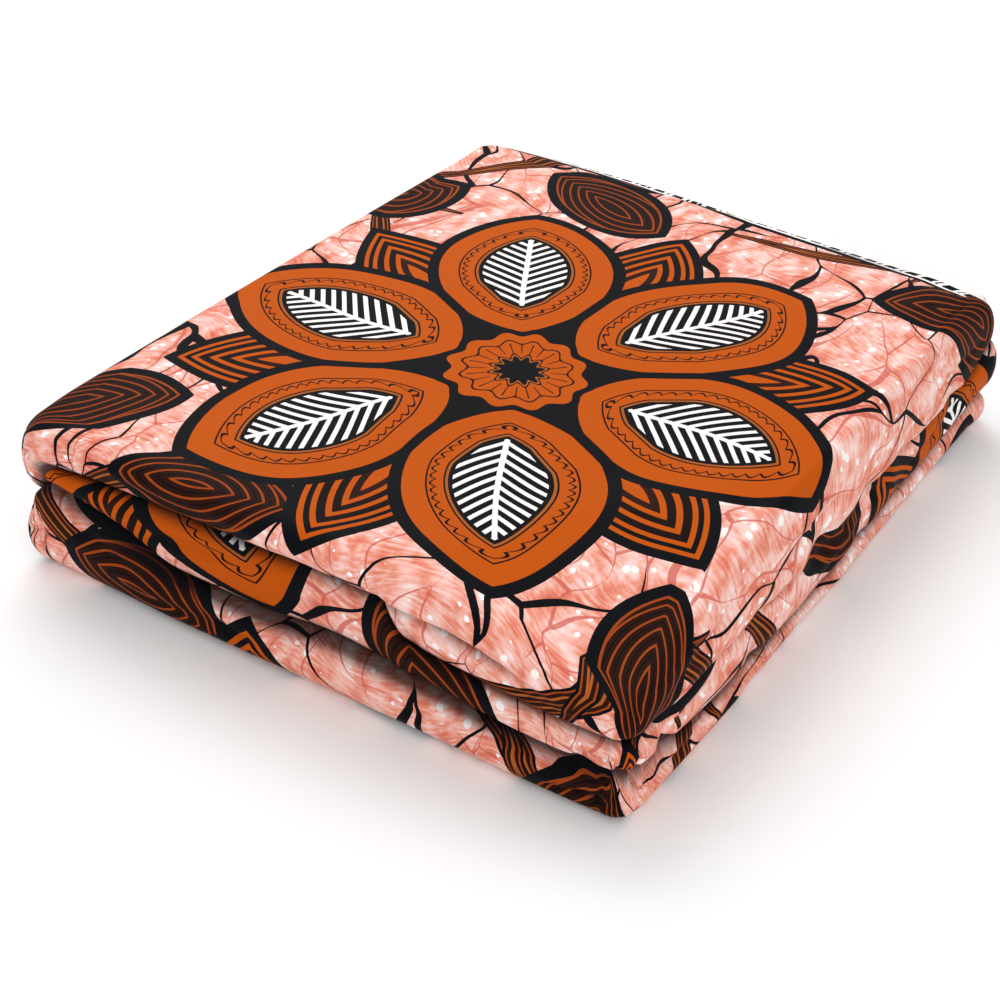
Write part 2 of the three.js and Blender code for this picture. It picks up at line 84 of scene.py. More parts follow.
FRONT_CELLS = 160  # how finely the front and the back are divided
SIDE_CELLS = 186
ROLL_ROWS = 30
TUCK_ROWS = 5
FLAT_INSETS = (24, 20.5, 17, 13.5, 10.5)
EDGE_FOLD = 0.9  # half the thickness that a sheet shows at its free edge
HEM_ROWS = 5
LAYER_TURNS = (1.975, 3.045)  # the stretch of the outline along which layer edges show
LAYER_STATIONS = 210
LAYER_COUNT = 23
LAYER_FACE_ROWS = 9
LAYER_SEED = 7
LAYER_SHARES = (0.6, 1.5)  # least and most share of the height that a layer takes
LAYER_MARGIN = 0.9  # between the outer sheets and the first layer edge
LAYER_INSET = 1.4
LAYER_SPREAD = 0.8  # how unevenly whole layers lie in and out
LAYER_WANDER = 1.3  # how far a layer's edge wanders in and out along its length
LAYER_RIPPLE = 0.25  # and up and down
LAYER_GROOVE = 2.6
LAYER_FADE = 0.05  # turns over which the layers draw in at the ends, by CORNER_INSET
CORNER_INSET = 4
FOLD_SHARPNESS = 2  # how square a layer's edge is, where it is a fold and where it is cut
CUT_SHARPNESS = 6
PAINTED_SHADE_FACE = 0.7  # painted shade: a roll's surface is painted darker from this far in, over this depth
PAINTED_SHADE_DEPTH = 3.8
PAINTED_SHADE_STRENGTH = 0.88  # how dark the painted shade is where a fold is deepest
CREASE_SHADE_FACE = 1.1  # the same painted shade, for a crease that is pressed in
CREASE_SHADE_DEPTH = 3.6
FOLDED_SHARE = 0.55  # of the layers that show a fold and not a selvage
WAVE_COUNTS = (2, 5, 11)  # half waves to a turn, in the layers' edges
SELVAGE_PLACES = (2.4, 7)  # nearest and furthest that a layer's edge lies past the selvage line
NO_SELVAGE = -50.0  # how far short of its selvage a sheet is said to be where it has none

# How far a sheet has turned, in degrees: where it hangs, where its end points inward, and where
# it is tucked.
HANGING = 95
INWARD = 125
ROLLED = 140

# Corner radii and the angles at which they start, from the left front corner round.
CORNERS = ((6, -180), (6, -90), (10, 0), (9, 90))

# Heights round the bundle: the top where it turns down, the top sheet's lower edge, and the
# lower sheet's upper edge.
HEIGHTS = {
    "columns": ("turn", "crown", "crease", "split"),
    "rows": (
        (0, 60.4, 28, 26.4),
        (0.02, 60.6, 33.4, 31.2),
        (0.035, 60.7, 39.8, 36.6),
        (0.05, 60.8, 43.2, 37.6),
        (0.11, 61, 45, 34),
        (0.18, 61.4, 45.8, 29.4),
        (0.28, 61.6, 46.4, 20.2),
        (0.41, 61.8, 46.8, 19.6),
        (0.55, 61.8, 47.2, 22),
        (0.62, 61.4, 46.8, 20.6),
        (0.665, 61.2, 34.6, 20.2),
        (0.72, 61, 33, 20.2),
        (0.8, 60.6, 33.8, 19),
        (0.88, 60.4, 36.8, 20),
        (0.95, 60.2, 39.6, 22.8),
        (1, 59.8, 42.4, 24.6),
        (1.06, 60.2, 43.6, 20.4),
        (1.15, 60.4, 40.4, 14.8),
        (1.24, 60.4, 35.8, 11.2),
        (1.35, 60, 32.8, 9.2),
        (1.41, 60.2, 31.4, 8.8),
        (1.45, 60.2, 34.8, 8.6),
        (1.51, 60.2, 32.2, 8.6),
        (1.6, 60.4, 34.2, 8.8),
        (1.78, 60.4, 32.6, 10.2),
        (1.9, 58.6, 32, 14),
        (1.94, 57.6, 35.6, 15.6),
        (1.965, 57, 39, 16.6),
        (1.985, 56.8, 40.6, 17),
        (2.035, 57, 55.9, 1.3),
        (2.1, 59, 57.8, 1.3),
        (2.5, 61, 59.7, 1.3),
        (2.965, 61, 59.7, 1.3),
        (3.09, 61.2, 29.8, 28.2),
        (3.3, 61.6, 26, 25.2),
        (3.7, 61.4, 25.4, 24.6),
        (3.93, 60.8, 25.8, 25),
        (3.965, 60.6, 26.8, 25.4),
    ),
}

# How far each roll stands out past the nominal outline.
OUTSETS = {
    "columns": ("turn", "top", "middle", "low"),
    "rows": (
        (0, 1.5, 1, 3),
        (0.06, 2.2, 0.4, 2.8),
        (0.3, 2.4, 0.2, 3),
        (0.6, 2.2, -0.4, 3),
        (0.67, 2.9, -0.2, 3),
        (0.9, 3, 0.6, 3),
        (1, 3, 1.2, 2.6),
        (1.2, 2.4, 2.4, 2),
        (1.5, 0.8, 1.6, 0.2),
        (1.8, -1, -0.2, -1.6),
        (1.93, -1.6, 0.6, -1.2),
        (1.985, -1.2, 2, 0.4),
        (2.06, -1, 0, 0),
        (2.2, -2, 0, -0.8),
        (2.5, 0.4, 0, -0.6),
        (2.94, 3, 0, 0.6),
        (3.1, 2.6, 0, 1.6),
        (3.6, 3, 0, 1.4),
        (3.9, 3, 0, 1.6),
    ),
}

# What a sheet does at its edge, in degrees turned, and how far it is tucked back in.
EDGES = {
    "columns": ("turn", "top_bend", "low_bend", "tuck"),
    "rows": (
        (0, 180, 180, 2),
        (0.08, 180, 180, 3),
        (0.14, 180, 180, 5),
        (0.2, 180, 180, 9),
        (0.56, 180, 180, 9),
        (0.62, 180, 180, 4),
        (0.67, 180, 180, 4),
        (0.74, 180, 180, 9),
        (0.88, 180, 180, 7),
        (1, 180, 180, 2),
        (1.12, 105, 180, 5),
        (1.25, 105, 180, 8),
        (1.85, 105, 180, 8),
        (1.97, 105, 180, 3),
        (1.985, 105, 180, 3),
        (1.995, 90, 150, 3),
        (2.035, 25, 25, 1),
        (2.9, 25, 25, 1),
        (2.965, 25, 25, 4),
        (3.09, 180, 180, 4),
        (3.18, 180, 180, 8),
        (3.85, 180, 180, 8),
    ),
}

# How far the top sheet's selvage lies out past its edge at the back.
SELVAGE_REACH = {
    "columns": ("turn", "reach"),
    "rows": (
        (0, 0),
        (1.99, 0),
        (2.02, 2),
        (2.065, 6),
        (2.13, 10),
        (2.285, 12),
        (2.38, 11),
        (2.47, 7),
        (2.56, 5),
        (2.7, 5),
        (2.86, 4),
        (2.94, 2),
        (2.99, 0),
    ),
}
SELVAGE_FALL = 0.16

# The selvage's inner edge, as (x, y): the cloth isn't folded square, so it is not straight.
SELVAGE_LINE = (
    (-123, 144),
    (-63, 143.6),
    (-39, 141.6),
    (-16, 138.4),
    (14, 133.2),
    (45, 131.6),
    (83, 129.8),
    (123, 129.6),
)
REACH_ROWS = 6
STRAIGHT_END = 0.6  # every edge of the top sheet ends straight for this length

# Where each sheet lies on the printed length, so that other stretches of the print show.
TOP_SHIFT = (0, 0)
MIDDLE_SHIFT = (75, 32)
LOWER_SHIFT = (22, 12)

# Soft troughs that pull all the layers in: turn, half width in turns, depth, lowest, highest.
TROUGHS = (
    (0.02, 0.012, 1.4, 30, 54),
    (3.985, 0.012, 1.5, 26, 60),
    (3.95, 0.013, 1.2, 2, 56),
    (0.04, 0.014, 1.5, 2, 30),
    (0.5, 0.05, 0.9, 22, 54),
    (0.93, 0.022, 2, 3, 32),
    (0.985, 0.012, 1.7, 8, 38),
    (1.03, 0.014, 2, 3, 34),
    (1.09, 0.024, 1.5, 4, 42),
    (1.29, 0.04, 2, 1, 38),
    (1.45, 0.05, 2.2, 12, 48),
    (1.58, 0.04, 1.8, 0, 42),
    (1.7, 0.045, 1.6, 2, 44),
    (1.86, 0.04, 1.8, 16, 44),
    (3.25, 0.08, 1.2, 4, 52),
    (3.62, 0.07, 1.4, 8, 56),
)
TROUGH_FADE = 11  # how far in the troughs are felt

# Creases in the rolled sides, pressed into the layers that they cross: from (turn, height) to
# (turn, height), half their width and their depth.  A depth below 0 is a ridge.
CREASES = (
    (0.06, 50.5, 0.42, 53.5, 2.6, 1.6),
    (0.595, 47.4, 0.84, 49, 1.7, 3.4),
    (0.3, 56.5, 0.66, 55, 3.4, -1.2),
    (0.62, 52, 0.69, 37, 2.2, 2.3),
    (0.7, 49.5, 0.93, 46.5, 2.6, 2.1),
    (0.74, 42, 0.98, 44.5, 2, 1.6),
    (0.84, 54, 0.99, 50, 2.4, 1.4),
    (0.1, 26, 0.24, 14, 2.8, 1.9),
    (0.16, 8, 0.48, 10.5, 2.6, 1.6),
    (0.3, 14.5, 0.42, 8.5, 2.2, 1.4),
    (0.5, 13, 0.82, 9.5, 2.8, 1.6),
    (0.78, 15.5, 0.985, 20.5, 2.2, 2.6),
    (0.86, 6, 0.99, 12, 2, 2.6),
    (0.9, 26.5, 0.98, 31.5, 1.8, 2.3),
    (0.945, 3, 0.965, 24, 1.7, 2.6),
    (0.965, 22, 0.995, 6, 1.5, 2.2),
    (1.01, 26, 1.04, 10, 1.6, 2.6),
    (1.04, 12, 1.075, 24, 1.7, 2.4),
    (1.07, 30, 1.12, 14, 1.8, 2.2),
    (0.83, 29, 0.93, 25.5, 1.8, 1.8),
    (0.22, 34, 0.4, 38.5, 2.4, 1.8),
    (0.44, 29.5, 0.6, 35.5, 2.4, 1.6),
    (1.015, 12, 1.2, 7.5, 2.2, 2.4),
    (1.01, 22, 1.14, 15, 2, 2.4),
    (1.02, 32, 1.26, 25, 2.2, 2.3),
    (1.03, 50, 1.34, 47, 3, 1.8),
    (1.3, 41, 1.52, 44.5, 2.8, 1.9),
    (1.38, 24, 1.66, 27.5, 2.6, 2.1),
    (1.46, 15, 1.58, 21.5, 2.2, 1.9),
    (1.62, 49, 1.86, 51, 3.2, 1.4),
    (1.7, 20.5, 1.95, 25, 2.4, 1.9),
    (1.76, 40, 1.96, 43.5, 2.4, 1.6),
    (1.25, 4.5, 1.52, 3.5, 2, 1.4),
    (3.1, 17, 3.36, 14, 2.8, 1.9),
    (3.12, 43, 3.42, 46.5, 3, 1.9),
    (3.3, 34, 3.52, 37.5, 2.4, 1.6),
    (3.46, 10, 3.74, 12.5, 2.6, 1.8),
    (3.56, 50, 3.86, 47, 3, 1.6),
    (3.7, 18, 3.96, 14.5, 2.4, 2.3),
    (3.76, 38, 3.985, 42, 2.4, 2.3),
    (3.86, 31.5, 3.99, 35, 1.8, 1.9),
    (3.9, 7.5, 3.99, 10, 1.8, 1.8),
    (0.005, 46, 0.05, 50.5, 1.8, 1.9),
    (0.005, 15, 0.06, 18, 2, 2.1),
)
CREASE_FADE = 8  # how far in the creases are felt
TURN_LENGTH = 268  # of a turn, taken alike on all sides

# Faint folds pressed into the top: from (x, y) to (x, y), half their width and their depth.
PRESSED_FOLDS = (
    (-96, -38, 8, -56, 7, 0.5),
    (-30, 96, 62, 62, 9, 0.5),
    (40, -96, 96, -22, 8, 0.7),
    (-84, 72, -52, 118, 7, 0.4),
    (70, 22, 104, 92, 9, 0.6),
    (-104, -100, -58, -84, 6, 0.5),
    (12, -118, 74, -112, 6, 0.5),
)


# ---------------------------------------------------------------- tables and small helpers
def mix(start, end, share):
    return start + (end - start) * share


def smooth(value):
    share = np.clip(value, 0, 1)
    return share * share * (3 - 2 * share)


def read_table(table, column, turn):
    """A smooth curve round the bundle through a table's column, that never overshoots a row."""
    rows = np.array(table["rows"], dtype=float)
    places = rows[:, 0]
    values = rows[:, table["columns"].index(column)]
    spans = (np.roll(places, -1) - places) % 4
    rises = (np.roll(values, -1) - values) / spans
    before = np.roll(rises, 1)
    same_way = before * rises > 0
    total = np.where(same_way, before + rises, 1)
    slopes = np.where(same_way, 2 * before * rises / total, 0)
    place = np.mod(turn, 4)
    index = np.searchsorted(places, place, side="right") - 1
    after = (index + 1) % len(rows)
    span = spans[index]
    share = ((place - places[index]) % 4) / span
    square = share**2
    cube = share**3
    return (
        values[index] * (2 * cube - 3 * square + 1)
        + slopes[index] * span * (cube - 2 * square + share)
        + values[after] * (3 * square - 2 * cube)
        + slopes[after] * span * (cube - square)
    )


def corner_point(corner, share, inset):
    radius, start = np.array(CORNERS).T[:, corner]
    turned = np.radians(start + 90 * share)
    rounding = np.maximum(radius - inset, SMALLEST_CORNER)
    sign_x = np.where((corner == 1) | (corner == 2), 1, -1)
    sign_y = np.where(corner >= 2, 1, -1)
    x = sign_x * (HALF_LENGTH - inset - rounding) + rounding * np.cos(turned)
    y = sign_y * (HALF_DEPTH - inset - rounding) + rounding * np.sin(turned)
    return np.stack([x, y], axis=-1)


def outline(turn, inset):
    """The point on the bundle's outline at a turn, moved inward by inset."""
    turn, inset = np.broadcast_arrays(np.asarray(turn, float), np.asarray(inset, float))
    place = np.mod(turn, 4)
    side = np.floor(place).astype(int) % 4
    share = place - np.floor(place)
    following = (side + 1) % 4
    along = np.clip((share - CORNER_SHARE) / (1 - 2 * CORNER_SHARE), 0, 1)
    leaving = corner_point(side, 0.5 + 0.5 * np.clip(share / CORNER_SHARE, 0, 1), inset)
    arriving = corner_point(
        following, 0.5 * np.clip((share - 1 + CORNER_SHARE) / CORNER_SHARE, 0, 1), inset
    )
    return mix(leaving, arriving, along[..., None])


def outward(turn):
    """The direction straight out of the outline at a turn."""
    step = 1e-4
    ahead = outline(turn + step, 0) - outline(turn - step, 0)
    ahead /= np.linalg.norm(ahead, axis=-1, keepdims=True)
    return np.stack([ahead[..., 1], -ahead[..., 0]], axis=-1)


def from_line(x, y, end_x, end_y):
    """How far a point is from a line that starts at 0, 0, and how far along it, from 0 to 1."""
    along = np.clip((x * end_x + y * end_y) / (end_x**2 + end_y**2), 0, 1)
    return np.hypot(x - along * end_x, y - along * end_y), along


def trough_depth(turn, inset, z):
    """How far the soft troughs pull a point of the rolled sides in."""
    depth = np.zeros(np.broadcast(turn, inset, z).shape)
    for middle_turn, half, deepest, low, high in TROUGHS:
        away = np.abs((turn - middle_turn + 6) % 4 - 2) / half
        across = np.clip(1 - ((z - (low + high) / 2) / ((high - low) / 2)) ** 2, 0, 1)
        depth = depth + deepest * np.clip(1 - away * away, 0, 1) ** 2 * across
    return depth * np.exp(-np.maximum(inset, 0) / TROUGH_FADE)


def crease_depth(turn, inset, z):
    """How deep the creases press a point of the rolled sides in."""
    depth = np.zeros(np.broadcast(turn, inset, z).shape)
    for turn_a, z_a, turn_b, z_b, half, deepest in CREASES:
        away, along = from_line(
            ((turn - turn_a + 2) % 4 - 2) * TURN_LENGTH,
            z - z_a,
            (turn_b - turn_a) * TURN_LENGTH,
            z_b - z_a,
        )
        fading = np.exp(-((away / half) ** 2))
        depth = depth + deepest * fading * np.clip(4 * along * (1 - along), 0, 1)
    return depth * np.exp(-((np.maximum(inset, 0) / CREASE_FADE) ** 2))


def droop(points):
    """The sag of the right front corner, as the share of its height that each point keeps."""
    away = np.hypot(HALF_LENGTH - points[..., 0], HALF_DEPTH + points[..., 1])
    return 1 - DROOP_SHARE * smooth(1 - away / DROOP_REACH)


def place(turn, inset, z):
    """Section points set on the bundle, in millimetres."""
    pressed = trough_depth(turn, inset, z) + crease_depth(turn, inset, z)
    flat = outline(turn, inset + pressed)
    return np.concatenate([flat, (z * droop(flat))[..., None]], axis=-1)


# ---------------------------------------------------------------- sections
def roll(start, finish, bend, deepest, outset, tuck, direction):
    """The rows of a sheet's rolled edge and of its tucked end, as insets and heights."""
    most = np.radians(bend)
    half = np.abs(finish - start) / (1 - np.cos(most))
    depth = np.minimum(deepest, half**2 / TIGHTEST_TURN)
    angle = most * np.linspace(0, 1, ROLL_ROWS + 1)[:, None]
    inset = depth - outset - depth * np.sin(angle)
    z = start + direction * half * (1 - np.cos(angle))
    inward = smooth((bend - HANGING) / (INWARD - HANGING))
    along_inset = mix(-depth * np.cos(most), depth, inward)
    along_z = mix(direction * half * np.sin(most), 0, inward)
    reach = np.linspace(0, 1, TUCK_ROWS + 1)[1:, None] * tuck / np.hypot(along_inset, along_z)
    return (
        np.concatenate([inset, inset[-1] + along_inset * reach]),
        np.concatenate([z, z[-1] + along_z * reach]),
    )


def tuck_for(turn, bend):
    rolled = smooth((bend - HANGING) / (ROLLED - HANGING))
    return mix(FREE_END, read_table(EDGES, "tuck", turn), rolled)


def hem(inset, z, inside):
    """The section with its free edge folded over, so that the edge shows a thickness."""
    along = np.stack([np.gradient(inset, axis=0), np.gradient(z, axis=0)])
    along /= np.linalg.norm(along, axis=0)
    rows = slice(-1, -1 - HEM_ROWS, -1)
    thick = 2 * EDGE_FOLD * inside
    back_inset = (inset - along[1] * thick)[rows]
    back_z = (z + along[0] * thick)[rows]
    return np.concatenate([inset, back_inset]), np.concatenate([z, back_z])


def reach_out(turn, inset, z):
    """The section with a short straight end, and the selvage's stretch where it lies free."""
    reach = read_table(SELVAGE_REACH, "reach", turn)
    last_inset = inset[-1] - inset[-2]
    last_z = z[-1] - z[-2]
    straight = STRAIGHT_END / np.hypot(last_inset, last_z)
    share = np.linspace(0, 1, REACH_ROWS + 1)[1:, None]
    more_inset = inset[-1] + (last_inset * straight - reach) * share
    more_z = z[-1] + last_z * straight * share - reach * (SELVAGE_FALL * share**2)
    return np.concatenate([inset, more_inset]), np.concatenate([z, more_z])


def arc_length(inset, z):
    steps = np.hypot(np.diff(inset, axis=0), np.diff(z, axis=0))
    return np.concatenate([np.zeros((1, inset.shape[1])), np.cumsum(steps, axis=0)])


# ---------------------------------------------------------------- meshes
def make_piece(name, points, faces, cloth, painted_shade):
    """A mesh of millimetre points, with the cloth's flat coordinates and the painted shade of its
    seams on it.
    """
    mesh = bpy.data.meshes.new(name)
    mesh.from_pydata((points * MM).tolist(), [], faces.tolist())
    mesh.polygons.foreach_set("use_smooth", np.ones(len(faces), dtype=bool))
    attribute = mesh.attributes.new("cloth", "FLOAT_VECTOR", "POINT")
    attribute.data.foreach_set("vector", (cloth * MM).ravel())
    # painted shade: how much darker each point is painted, deep in a fold or crease
    attribute = mesh.attributes.new("painted_shade", "FLOAT", "POINT")
    attribute.data.foreach_set("value", np.ascontiguousarray(painted_shade, dtype=float).ravel())
    mesh.validate()
    mesh.update()
    piece = bpy.data.objects.new(name, mesh)
    bpy.context.scene.collection.objects.link(piece)
    return piece


def painted_shade_share(turn, inset, z, shown=1):
    """How deep each point lies in the seams and creases, from 0 to 1: the share of painted shade
    that it gets.

    shown is 0 on the rows that lie flat, away from the seams, and get no painted shade."""
    painted_shade = smooth((inset - inset.min(axis=0) - PAINTED_SHADE_FACE) / PAINTED_SHADE_DEPTH) * shown
    return np.maximum(painted_shade, smooth((crease_depth(turn, inset, z) - CREASE_SHADE_FACE) / CREASE_SHADE_DEPTH))


def ring_faces(row_count, station_count, closed):
    rows = np.arange(row_count - 1)[:, None] * station_count
    steps = np.arange(station_count if closed else station_count - 1)[None, :]
    after = (steps + 1) % station_count
    quads = [rows + steps, rows + station_count + steps, rows + station_count + after, rows + after]
    return np.stack(quads, axis=-1).reshape(-1, 4)


def side_turns():
    """The stations all the way round, matched on opposite sides."""
    front = np.arange(FRONT_CELLS) / FRONT_CELLS
    side = np.arange(SIDE_CELLS) / SIDE_CELLS
    return np.concatenate([front, 1 + side, 2 + front, 3 + side])


def grid_inside(ring):
    """A grid of points inside a closed ring, and the index of each in ring-then-grid order."""
    across, deep = FRONT_CELLS, SIDE_CELLS
    count = len(ring)
    front = np.arange(across + 1)
    right = across + np.arange(deep + 1)
    back = (across + deep + np.arange(across + 1))[::-1]
    left = ((2 * across + deep + np.arange(deep + 1)) % count)[::-1]
    u = (np.arange(across + 1) / across)[:, None, None]
    v = (np.arange(deep + 1) / deep)[None, :, None]
    patch = (
        (1 - v) * ring[front][:, None]
        + v * ring[back][:, None]
        + (1 - u) * ring[left][None]
        + u * ring[right][None]
        - (1 - u) * (1 - v) * ring[front[0]]
        - u * (1 - v) * ring[right[0]]
        - (1 - u) * v * ring[left[-1]]
        - u * v * ring[right[-1]]
    )
    index = np.zeros((across + 1, deep + 1), dtype=int)
    index[1:-1, 1:-1] = count + np.arange((across - 1) * (deep - 1)).reshape(across - 1, deep - 1)
    index[:, 0] = front
    index[:, -1] = back
    index[0, :] = left
    index[-1, :] = right
    inner = patch[1:-1, 1:-1].reshape(-1, ring.shape[1])
    corners = [index[:-1, :-1], index[1:, :-1], index[1:, 1:], index[:-1, 1:]]
    return inner, np.stack(corners, axis=-1).reshape(-1, 4)


# ---------------------------------------------------------------- the four pieces
def top_height(points):
    """How high the top is, inside its rolled edges, before its right front corner sags."""
    rise = np.ones(points.shape[:-1])
    for axis, half in ((0, HALF_LENGTH), (1, HALF_DEPTH)):
        rise = rise * smooth((half - np.abs(points[..., axis]) - TOP_ROLL_DEPTH) / DOME_REACH)
    pressed = np.zeros(points.shape[:-1])
    for x_a, y_a, x_b, y_b, half, deepest in PRESSED_FOLDS:
        away, along = from_line(points[..., 0] - x_a, points[..., 1] - y_a, x_b - x_a, y_b - y_a)
        pressed = pressed + deepest * np.exp(-((away / half) ** 2)) * 4 * along * (1 - along)
    return BUNDLE_HEIGHT - EDGE_FALL * (1 - rise) - pressed


def cloth_rows(turn, inset, z, flat_count, shift):
    """Flat cloth coordinates of section rows: flat ones as they lie, the rest straight out."""
    length = arc_length(inset, z)
    start = max(flat_count - 1, 0)
    out = (length[start:] - length[start])[..., None] * outward(turn)
    lying = outline(turn, inset[: start + 1])
    flat = np.concatenate([lying[:-1], lying[-1] + out]) + np.array(shift)
    edge = np.full(flat.shape[:2] + (1,), NO_SELVAGE)
    return np.concatenate([flat, edge], axis=-1)


def round_sheet(name, turn, inset, z, cloth, inner_height, flip):
    """A sheet whose sections run all the way round, closed over by a grid."""
    rows = place(turn, inset, z)
    share = smooth((inset[: len(FLAT_INSETS)] - TOP_ROLL_DEPTH) / (FLAT_INSETS[0] - TOP_ROLL_DEPTH))
    flat_rows = rows[: len(FLAT_INSETS)]
    flat_rows[..., 2] = mix(flat_rows[..., 2], inner_height(flat_rows), share)
    inner, faces = grid_inside(np.concatenate([rows[0], cloth[0]], axis=-1))
    inner[:, 2] = inner_height(inner)
    # painted shade on the rows that curl in past a roll's outermost, into the fold beneath
    past_outermost = np.arange(len(inset))[:, None] > inset.argmin(axis=0)
    painted_shade = painted_shade_share(turn, inset, z, past_outermost)
    painted_shade = np.concatenate([painted_shade.ravel(), np.zeros(len(inner))])
    faces = np.where(faces >= len(turn), faces + (rows.shape[0] - 1) * len(turn), faces)
    points = np.concatenate([rows.reshape(-1, 3), inner[:, :3]])
    flat = np.concatenate([cloth.reshape(-1, 3), inner[:, 3:]])
    all_faces = np.concatenate([ring_faces(rows.shape[0], len(turn), True), faces])
    return make_piece(name, points, all_faces[:, ::-1] if flip else all_faces, flat, painted_shade)


def top_cloth():
    turn = side_turns()
    crown = read_table(HEIGHTS, "crown", turn)
    bend = read_table(EDGES, "top_bend", turn)
    roll_inset, roll_z = roll(
        crown,
        read_table(HEIGHTS, "crease", turn),
        bend,
        TOP_ROLL_DEPTH,
        read_table(OUTSETS, "top", turn),
        tuck_for(turn, bend),
        -1,
    )
    flat = np.repeat(np.array(FLAT_INSETS, float)[:, None], len(turn), axis=1)
    inset = np.concatenate([flat, roll_inset])
    z = np.concatenate([np.broadcast_to(crown, flat.shape), roll_z])
    inset, z = reach_out(turn, inset, z)
    inset, z = hem(inset, z, 1)
    cloth = cloth_rows(turn, inset, z, len(FLAT_INSETS), TOP_SHIFT)
    at_back = (turn > 2) & (turn < 3)
    past_line = cloth[..., 1] - np.interp(cloth[..., 0], *zip(*SELVAGE_LINE))
    cloth[..., 2] = np.where(at_back, past_line, NO_SELVAGE)

    def inner_height(points):
        return top_height(points) * droop(points)

    return round_sheet("top_cloth", turn, inset, z, cloth, inner_height, False)


def lower_cloth():
    turn = side_turns()
    bend = read_table(EDGES, "low_bend", turn)
    roll_inset, roll_z = roll(
        np.zeros(len(turn)),
        read_table(HEIGHTS, "split", turn),
        bend,
        LOW_ROLL_DEPTH,
        read_table(OUTSETS, "low", turn),
        tuck_for(turn, bend),
        1,
    )
    flat = np.repeat(np.array(FLAT_INSETS, float)[:, None], len(turn), axis=1)
    inset = np.concatenate([flat, roll_inset])
    z = np.concatenate([np.zeros(flat.shape), roll_z])
    inset, z = hem(inset, z, -1)
    cloth = cloth_rows(turn, inset, z, len(FLAT_INSETS), LOWER_SHIFT)

    def inner_height(points):
        return np.zeros(points.shape[:-1])

    return round_sheet("lower_cloth", turn, inset, z, cloth, inner_height, True)


def middle_cloth():
    every = side_turns()
    inner = every[(every > MIDDLE_START + NEAR_TURN) & (every < MIDDLE_END - NEAR_TURN)]
    turn = np.concatenate([[MIDDLE_START], inner, [MIDDLE_END]])
    tuck = read_table(EDGES, "tuck", turn)
    inset, z = roll(
        read_table(HEIGHTS, "crease", turn) - SEAM_GAP,
        read_table(HEIGHTS, "split", turn) + SEAM_GAP,
        np.full(len(turn), 180.0),
        MIDDLE_ROLL_DEPTH,
        read_table(OUTSETS, "middle", turn),
        tuck,
        -1,
    )
    back = inset[0] + np.linspace(1, 0, TUCK_ROWS, endpoint=False)[:, None] * tuck
    inset = np.concatenate([back, inset])
    z = np.concatenate([np.broadcast_to(z[0], back.shape), z])
    cloth = cloth_rows(turn, inset, z, 0, MIDDLE_SHIFT)
    points = place(turn, inset, z)
    faces = ring_faces(len(points), len(turn), False)
    flat = cloth.reshape(-1, 3)
    # painted shade in the folds above and below the middle roll, and in its creases
    painted_shade = painted_shade_share(turn, inset, z)
    return make_piece("middle_cloth", points.reshape(-1, 3), faces, flat, painted_shade)


def layer_stack():
    """The hidden layers' edges at the back: folds, and selvages that stop short or stand out, with
    painted shade in the grooves between them.
    """
    random = np.random.default_rng(LAYER_SEED)
    turn = np.linspace(*LAYER_TURNS, LAYER_STATIONS)
    low = read_table(HEIGHTS, "split", turn) + LAYER_MARGIN
    high = read_table(HEIGHTS, "crease", turn) - LAYER_MARGIN
    started = smooth((turn - LAYER_TURNS[0]) / LAYER_FADE)
    ends = started * smooth((LAYER_TURNS[1] - turn) / LAYER_FADE)
    thick = random.uniform(*LAYER_SHARES, LAYER_COUNT)
    levels = np.concatenate([[0], np.cumsum(thick)]) / thick.sum()
    face = np.linspace(-1, 1, LAYER_FACE_ROWS)[:, None]
    inset, z, cloth, painted_shade = [], [], [], []
    for layer in range(LAYER_COUNT):
        folded = random.random() < FOLDED_SHARE
        wander = LAYER_INSET + random.normal(0, LAYER_SPREAD) + waves(random, turn, LAYER_WANDER)
        wander = wander + (1 - ends) * CORNER_INSET
        sharp = FOLD_SHARPNESS if folded else CUT_SHARPNESS
        middle = mix(low, high, (levels[layer] + levels[layer + 1]) / 2)
        half = (high - low) * (levels[layer + 1] - levels[layer]) / 2
        blunt = 1 - (1 - np.abs(face) ** sharp) ** (1 / sharp)
        inset.append(wander + LAYER_GROOVE * blunt)
        z.append(middle + half * face + waves(random, turn, LAYER_RIPPLE))
        # painted shade in the grooves between the layers' edges, darkest where each edge turns in
        painted_shade.append(blunt * np.ones(len(turn)))
        row = np.zeros((LAYER_FACE_ROWS, len(turn), 3))
        row[..., 0] = -outline(turn, 0)[:, 0] + random.uniform(0, REPEAT)
        row[..., 1] = random.uniform(0, REPEAT) + face * LAYER_GROOVE
        past_line = NO_SELVAGE if folded else random.uniform(*SELVAGE_PLACES)
        row[..., 2] = past_line if folded else past_line + face * LAYER_GROOVE
        cloth.append(row)
    points = place(turn, np.concatenate(inset), np.concatenate(z))
    faces = ring_faces(len(points), len(turn), False)[:, ::-1]
    flat = np.concatenate(cloth).reshape(-1, 3)
    return make_piece("layer_stack", points.reshape(-1, 3), faces, flat, np.concatenate(painted_shade))


def waves(random, turn, height):
    """A gentle uneven wave along a stretch of the outline."""
    total = np.zeros(len(turn))
    for count in WAVE_COUNTS:
        total = total + np.sin(turn * count * math.pi + random.uniform(0, 2 * math.pi)) / count
    return total * height


# ---------------------------------------------------------------- the print
PALETTE = {
    "orange": "#BE5204",
    "amber": "#A85A22",
    "navy": "#08090E",
    "brown": "#2B1008",
    "dark_brown": "#170906",
    "rust": "#9A4216",
    "white": "#FAF3F0",
    "pale": "#F8DAD2",
    "light_pink": "#F5CBC2",
    "pink": "#F1B3A6",
    "coral": "#E8957F",
    "deep_coral": "#DD7A66",
    "red_coral": "#CB5F4F",
}


